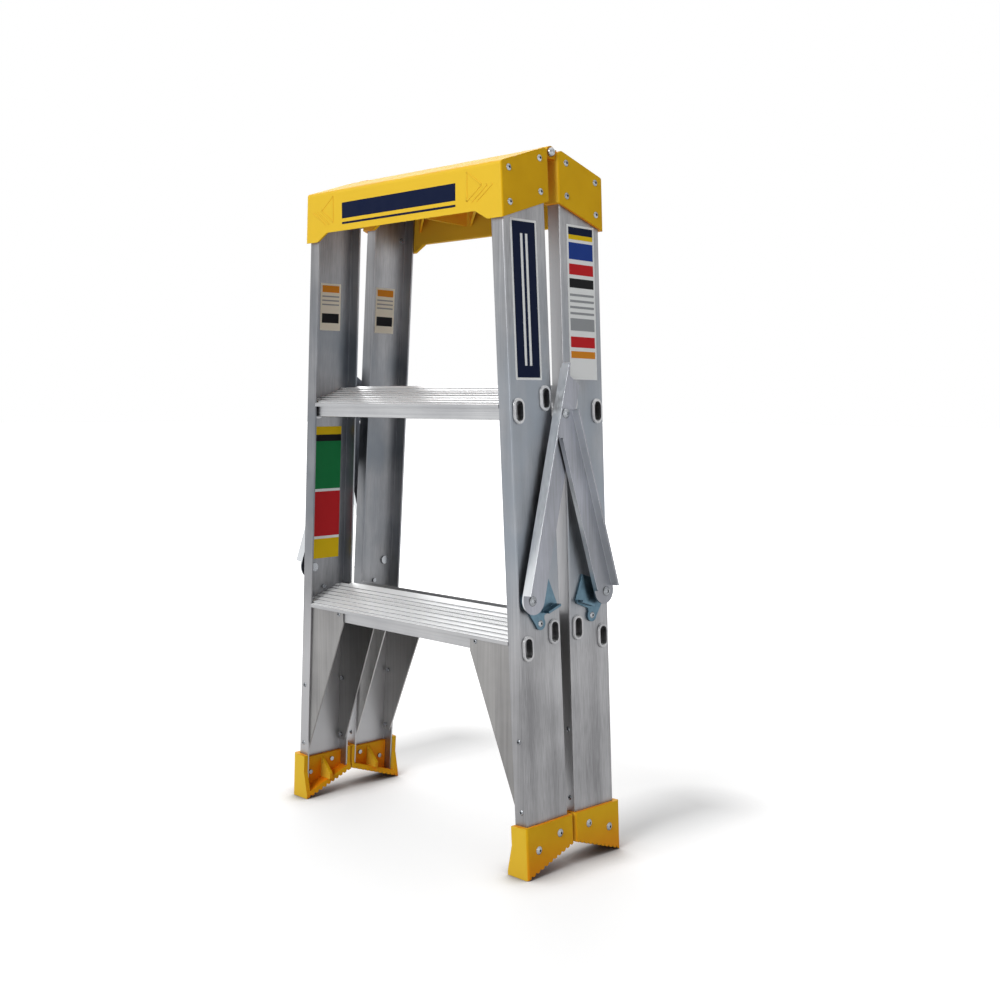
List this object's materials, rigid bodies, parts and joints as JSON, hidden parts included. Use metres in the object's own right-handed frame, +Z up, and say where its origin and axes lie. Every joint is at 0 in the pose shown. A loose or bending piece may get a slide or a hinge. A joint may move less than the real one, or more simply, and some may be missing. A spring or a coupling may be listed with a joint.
{
  "type": "trestle ladder",
  "caption": "Double-sided aluminium trestle ladder, folded: ribbed treads between leaning channel stiles, yellow moulded caps and feet, and folding spreader arms on each side.",
  "frame": {"origin": "On the floor, midway between the two halves and midway between left and right, with the ladder folded", "axes": "X to the right along the treads, Y from the front half to the rear half, Z up"},
  "size_m": [0.5048, 0.1906, 0.931],
  "materials": {
    "yellow_plastic": "moulded, satin",
    "stile_aluminium": "extruded mill finish",
    "tread_aluminium": "extruded, bright",
    "gusset_aluminium": "sheet, satin",
    "arm_aluminium": "pressed, satin",
    "plated_bracket": "zinc plated",
    "rivet_steel": "bright",
    "pivot_steel": "bright",
    "hinge_steel": "bright"
  },
  "bodies": {
    "hinge": {"hinge_rod": "hinge_steel", "hinge_washers": "hinge_steel", "hinge_domes": "hinge_steel"},
    "front_frame": {"front_cap": "yellow_plastic", "front_stile_left": "stile_aluminium", "front_stile_right": "stile_aluminium", "front_step_lower": "tread_aluminium", "front_step_upper": "tread_aluminium", "front_foot_left": "yellow_plastic", "front_foot_right": "yellow_plastic", "front_outer_gusset_left": "gusset_aluminium", "front_outer_gusset_right": "gusset_aluminium", "front_inner_gusset_left": "gusset_aluminium", "front_inner_gusset_right": "gusset_aluminium", "front_bracket_left": "plated_bracket", "front_bracket_right": "plated_bracket", "front_cap_rivets": "rivet_steel", "front_foot_rivets": "rivet_steel", "front_gusset_rivets": "rivet_steel", "front_bracket_rivets": "rivet_steel", "front_pivot_pins": "pivot_steel"},
    "rear_frame": {"rear_cap": "yellow_plastic", "rear_stile_left": "stile_aluminium", "rear_stile_right": "stile_aluminium", "rear_step_lower": "tread_aluminium", "rear_step_upper": "tread_aluminium", "rear_foot_left": "yellow_plastic", "rear_foot_right": "yellow_plastic", "rear_outer_gusset_left": "gusset_aluminium", "rear_outer_gusset_right": "gusset_aluminium", "rear_inner_gusset_left": "gusset_aluminium", "rear_inner_gusset_right": "gusset_aluminium", "rear_bracket_left": "plated_bracket", "rear_bracket_right": "plated_bracket", "rear_cap_rivets": "rivet_steel", "rear_foot_rivets": "rivet_steel", "rear_gusset_rivets": "rivet_steel", "rear_bracket_rivets": "rivet_steel", "rear_pivot_studs": "pivot_steel"},
    "front_arm_right": {"front_arm_right": "arm_aluminium", "centre_pin_right": "pivot_steel"},
    "rear_arm_right": {"rear_arm_right": "arm_aluminium", "rear_arm_pin_right": "pivot_steel"},
    "front_arm_left": {"front_arm_left": "arm_aluminium", "centre_pin_left": "pivot_steel"},
    "rear_arm_left": {"rear_arm_left": "arm_aluminium", "rear_arm_pin_left": "pivot_steel"}
  },
  "joints": [
    {"name": "front_fold", "type": "hinge", "parent": "hinge", "child": "front_frame", "pos_m": [0, 0, 0.923], "axis": [-1, 0, 0], "range_deg": [0, 18.5]},
    {"name": "rear_fold", "type": "hinge", "parent": "hinge", "child": "rear_frame", "pos_m": [0, 0, 0.923], "axis": [1, 0, 0], "range_deg": [0, 18.5]},
    {"name": "front_arm_pivot_right", "type": "hinge", "parent": "front_frame", "child": "front_arm_right", "pos_m": [0.23459, -0.06832, 0.35238], "axis": [-1, 0, 0], "range_deg": [0, 55.38]},
    {"name": "arm_joint_right", "type": "hinge", "parent": "front_arm_right", "child": "rear_arm_right", "pos_m": [0.22518, 0, 0.58855], "axis": [1, 0, 0], "range_deg": [0, 147.75]},
    {"name": "front_arm_pivot_left", "type": "hinge", "parent": "front_frame", "child": "front_arm_left", "pos_m": [-0.23459, -0.06832, 0.35238], "axis": [-1, 0, 0], "range_deg": [0, 55.38]},
    {"name": "arm_joint_left", "type": "hinge", "parent": "front_arm_left", "child": "rear_arm_left", "pos_m": [-0.22518, 0, 0.58855], "axis": [1, 0, 0], "range_deg": [0, 147.75]}
  ],
  "couplings": [
    {"joint": "rear_fold", "follows": "front_fold", "ratio": 1},
    {"joint": "front_arm_pivot_right", "follows": "front_fold", "ratio": 2.9927},
    {"joint": "arm_joint_right", "follows": "front_fold", "ratio": 7.9854},
    {"joint": "front_arm_pivot_left", "follows": "front_fold", "ratio": 2.9927},
    {"joint": "arm_joint_left", "follows": "front_fold", "ratio": 7.9854}
  ]
}
